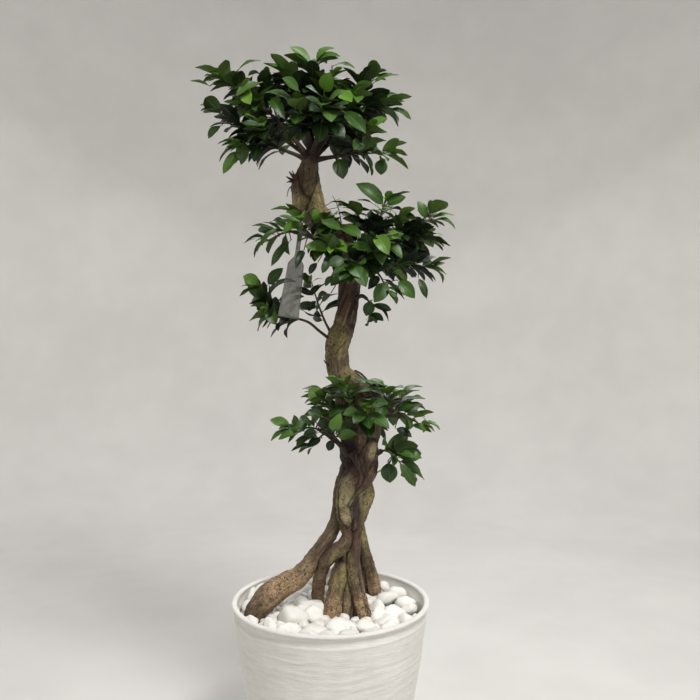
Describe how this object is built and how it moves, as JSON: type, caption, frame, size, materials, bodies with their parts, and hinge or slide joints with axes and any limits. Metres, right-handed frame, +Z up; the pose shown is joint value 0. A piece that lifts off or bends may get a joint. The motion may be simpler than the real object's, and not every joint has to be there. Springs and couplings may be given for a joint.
{
  "type": "chinese banyan bonsai",
  "caption": "Tall S-curved bonsai with a braided trunk on spreading roots and three leaf pads, standing in a round white planter topped with white pebbles.",
  "frame": {"origin": "centre of the planter's flat underside", "axes": "+Z up along the planter's axis, -Y to the front, where the longest root sweeps to the left, which is -X"},
  "size_m": [0.4528, 0.37, 1.3784],
  "materials": {
    "glaze": "white satin glaze, smooth rim and combed wall",
    "soil": "matt, crumbly",
    "pebbles": "matt, tumbled smooth",
    "bark": "matt, finely cracked bark",
    "leaves": "glossy above, duller below",
    "tag": "thin translucent film, blank"
  },
  "bodies": {
    "root": {"hang_tag": "tag", "pebble_mulch": "pebbles", "planter": "glaze", "soil": "soil", "spray_low_01": "leaves", "spray_low_02": "leaves", "spray_low_03": "leaves", "spray_low_04": "leaves", "spray_low_05": "leaves", "spray_low_06": "leaves", "spray_low_07": "leaves", "spray_low_08": "leaves", "spray_low_09": "leaves", "spray_low_10": "leaves", "spray_low_11": "leaves", "spray_low_12": "leaves", "spray_low_13": "leaves", "spray_mid_01": "leaves", "spray_mid_02": "leaves", "spray_mid_03": "leaves", "spray_mid_04": "leaves", "spray_mid_05": "leaves", "spray_mid_06": "leaves", "spray_mid_07": "leaves", "spray_mid_08": "leaves", "spray_mid_09": "leaves", "spray_mid_10": "leaves", "spray_mid_11": "leaves", "spray_mid_12": "leaves", "spray_mid_13": "leaves", "spray_mid_14": "leaves", "spray_mid_15": "leaves", "spray_mid_16": "leaves", "spray_mid_17": "leaves", "spray_mid_18": "leaves", "spray_mid_19": "leaves", "spray_mid_20": "leaves", "spray_top_01": "leaves", "spray_top_02": "leaves", "spray_top_03": "leaves", "spray_top_04": "leaves", "spray_top_05": "leaves", "spray_top_06": "leaves", "spray_top_07": "leaves", "spray_top_08": "leaves", "spray_top_09": "leaves", "spray_top_10": "leaves", "spray_top_11": "leaves", "spray_top_12": "leaves", "spray_top_13": "leaves", "spray_top_14": "leaves", "spray_top_15": "leaves", "spray_top_16": "leaves", "spray_top_17": "leaves", "spray_top_18": "leaves", "spray_top_19": "leaves", "spray_top_20": "leaves", "spray_top_21": "leaves", "tree": "bark"}
  },
  "joints": []
}
